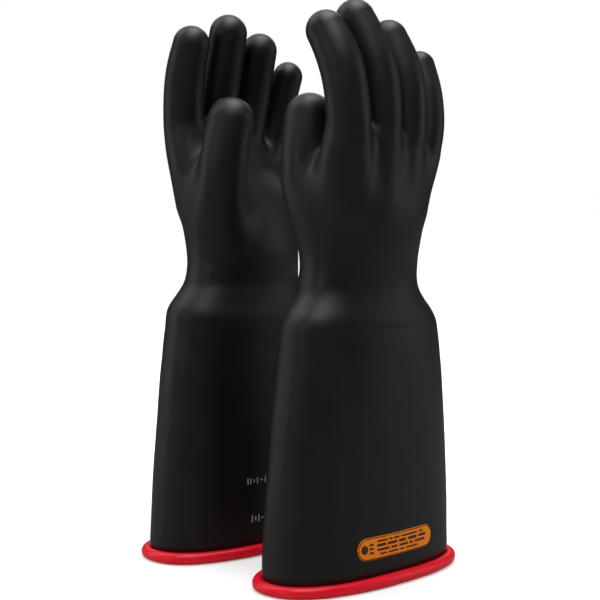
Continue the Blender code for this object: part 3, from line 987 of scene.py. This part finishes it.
def inner_rubber():
    """Matt red rubber of the inner ply."""
    s = rest_surface("inner_rubber")
    broad = s.noise(scale=45, detail=3, rough=0.55)
    s.set("Base Color", s.mix(s.remap(broad), (0.42, 0.012, 0.018), (0.55, 0.022, 0.028)))
    s.set("Roughness", s.remap(broad, to=(0.52, 0.66)))
    grain = s.noise(scale=300, detail=3, rough=0.6)
    s.set("Normal", s.bump(grain, strength=0.3, distance=0.0001))
    return s.material


def bead_rubber():
    """Saturated red satin rubber with a little light under its skin."""
    s = rest_surface("bead_rubber")
    broad = s.noise(scale=60, detail=3, rough=0.55)
    fine = s.noise(scale=500, detail=3, rough=0.6)
    s.set("Base Color", s.mix(s.remap(broad), (0.86, 0.004, 0.020), (0.97, 0.008, 0.030)))
    s.set("Roughness", s.math("ADD", s.remap(broad, to=(0.26, 0.36)),
                              s.remap(fine, to=(-0.02, 0.03))))
    s.set("Specular IOR Level", 0.34)
    s.set("Subsurface Weight", 0.08)
    s.set("Subsurface Radius", (0.002, 0.0003, 0.0002))
    s.set("Subsurface Scale", 0.6)
    normal = s.bump(s.noise(scale=240), strength=0.25, distance=0.00015)
    s.set("Normal", s.bump(fine, strength=0.2, distance=0.00005, under=normal))
    return s.material


def label_rubber():
    """Orange rubber with a fine grain."""
    s = rest_surface("label_rubber")
    broad = s.noise(scale=70, detail=3, rough=0.6)
    fine = s.noise(scale=700, detail=3, rough=0.6)
    s.set("Base Color", s.mix(s.remap(broad), (0.95, 0.225, 0.0), (1.0, 0.290, 0.001)))
    s.set("Roughness", s.remap(fine, to=(0.42, 0.56)))
    s.set("Specular IOR Level", 0.15)
    s.set("Normal", s.bump(fine, strength=0.25, distance=0.00006))
    return s.material


def print_ink():
    """Dark print on the label, a little worn."""
    s = rest_surface("label_print")
    wear = s.remap(s.noise(scale=900, detail=3, rough=0.6), source=(0.42, 0.62), to=(0.0, 0.35))
    s.set("Base Color", s.mix(wear, (0.030, 0.006, 0.003), (0.22, 0.05, 0.006)))
    s.set("Roughness", s.remap(s.noise(scale=500), to=(0.45, 0.6)))
    return s.material


def white_ink():
    """White ink, worn to grey in places."""
    s = rest_surface("white_ink")
    wear = s.remap(s.noise(scale=1300, detail=3, rough=0.7), source=(0.38, 0.66))
    s.set("Base Color", s.mix(wear, (0.62, 0.62, 0.61), (0.25, 0.25, 0.25)))
    s.set("Roughness", s.remap(wear, source=(0, 1), to=(0.5, 0.7)))
    return s.material


OUTER, INNER, BEAD = outer_rubber(), inner_rubber(), bead_rubber()
LABEL, PRINT, INK = label_rubber(), print_ink(), white_ink()
for glove_side in (1, -1):
    build_glove(glove_side)
    build_bead(glove_side)
    build_label(glove_side)
build_ticks()

# ------------------------------------------------------------------------------------------
# Stage, lights, camera
# ------------------------------------------------------------------------------------------
VIEW_X, VIEW_Y = -0.724, 0.690          # the way the camera looks, seen from above
LIGHT_TARGET = Vector((0, 0, 0.17))
# Softboxes: name, place from the target (right and forward as the camera sees, up), width,
# height, watts
LIGHTS = (
    ("top_box", (0.15, -0.02, 1.35), 1.3, 0.9, 19),
    ("top_left_box", (-0.80, 0.30, 1.10), 0.8, 0.8, 4.5),
    ("back_box", (0, 1.40, 0.90), 1.4, 0.6, 6),
    ("left_box", (-1.40, 0.20, 0.30), 0.6, 1.2, 2.8),
    ("right_box", (1.50, 0.20, 0.30), 0.6, 1.2, 2.2),
    ("front_left_box", (-1.60, -1.50, 0.75), 0.7, 0.7, 3.4),
    ("front_top_box", (0, -1.00, 1.25), 1.0, 0.7, 4.0),
)


def add_object(name, data):
    obj = bpy.data.objects.new(name, data)
    bpy.context.scene.collection.objects.link(obj)
    return obj


def aim(obj, direction):
    obj.rotation_mode = "QUATERNION"
    obj.rotation_quaternion = direction.to_track_quat("-Z", "Y")


def floor_material():
    """Pale matt floor, darker in reflections, that glows to white away from the gloves."""
    s = Surface("studio_floor")
    path = s.node("LightPath")
    s.set("Base Color", s.mix(path.outputs["Is Glossy Ray"], (0.75, 0.75, 0.75),
                              (0.28, 0.28, 0.28)))
    geometry = s.node("NewGeometry")
    distance = s.node("VectorMath")
    distance.operation = "LENGTH"
    s.feed(distance.inputs[0], geometry.outputs["Position"])
    glow = s.remap(distance.outputs["Value"], source=(0.05, 0.45), to=(0.35, 1.0))
    s.set("Emission Strength", s.math("MULTIPLY", glow, path.outputs["Is Camera Ray"]))
    s.set("Emission Color", (1, 1, 1, 1))
    s.set("Roughness", 0.9)
    s.set("Specular IOR Level", 0.0)
    return s.material


def build_floor():
    mesh = bpy.data.meshes.new("studio_floor")
    bm = bmesh.new()
    bmesh.ops.create_circle(bm, cap_ends=True, segments=96, radius=9.0)
    bm.to_mesh(mesh)
    bm.free()
    obj = add_object("studio_floor", mesh)
    obj.location = (0, 0, -0.0002)
    mesh.materials.append(floor_material())


def build_world():
    """White to the camera, dim grey to everything else."""
    studio = bpy.data.worlds.new("studio")
    bpy.context.scene.world = studio
    studio.use_nodes = True
    nodes, links = studio.node_tree.nodes, studio.node_tree.links
    nodes.clear()
    output = nodes.new("ShaderNodeOutputWorld")
    path = nodes.new("ShaderNodeLightPath")
    dim = nodes.new("ShaderNodeBackground")
    dim.inputs["Color"].default_value = (0.07, 0.07, 0.07, 1)
    white = nodes.new("ShaderNodeBackground")
    white.inputs["Color"].default_value = (1, 1, 1, 1)
    mix = nodes.new("ShaderNodeMixShader")
    links.new(path.outputs["Is Camera Ray"], mix.inputs[0])
    links.new(dim.outputs[0], mix.inputs[1])
    links.new(white.outputs[0], mix.inputs[2])
    links.new(mix.outputs[0], output.inputs["Surface"])


def build_lights():
    forward = Vector((VIEW_X, VIEW_Y, 0))
    right = Vector((VIEW_Y, -VIEW_X, 0))
    for name, (to_right, ahead, up), width, height, watts in LIGHTS:
        light = bpy.data.lights.new(name, "AREA")
        light.shape = "RECTANGLE"
        light.size, light.size_y = width, height
        light.energy = watts
        light.spread = math.pi
        obj = add_object(name, light)
        place = LIGHT_TARGET + right * to_right + forward * ahead + Vector((0, 0, up))
        obj.location = place
        aim(obj, LIGHT_TARGET - place)


def build_camera():
    data = bpy.data.cameras.new("camera")
    data.sensor_width = 36
    data.lens = 87.9
    data.clip_start, data.clip_end = 0.01, 60
    obj = add_object("camera", data)
    obj.location = (0.6929, -0.6581, 0.2495)
    pitch = math.radians(4.7)       # looking down
    level = math.cos(pitch)
    aim(obj, Vector((VIEW_X * level, VIEW_Y * level, -math.sin(pitch))))
    bpy.context.scene.camera = obj


build_floor()
build_world()
build_lights()
build_camera()
bpy.context.scene.view_settings.view_transform = "Standard"
bpy.context.scene.view_settings.look = "None"
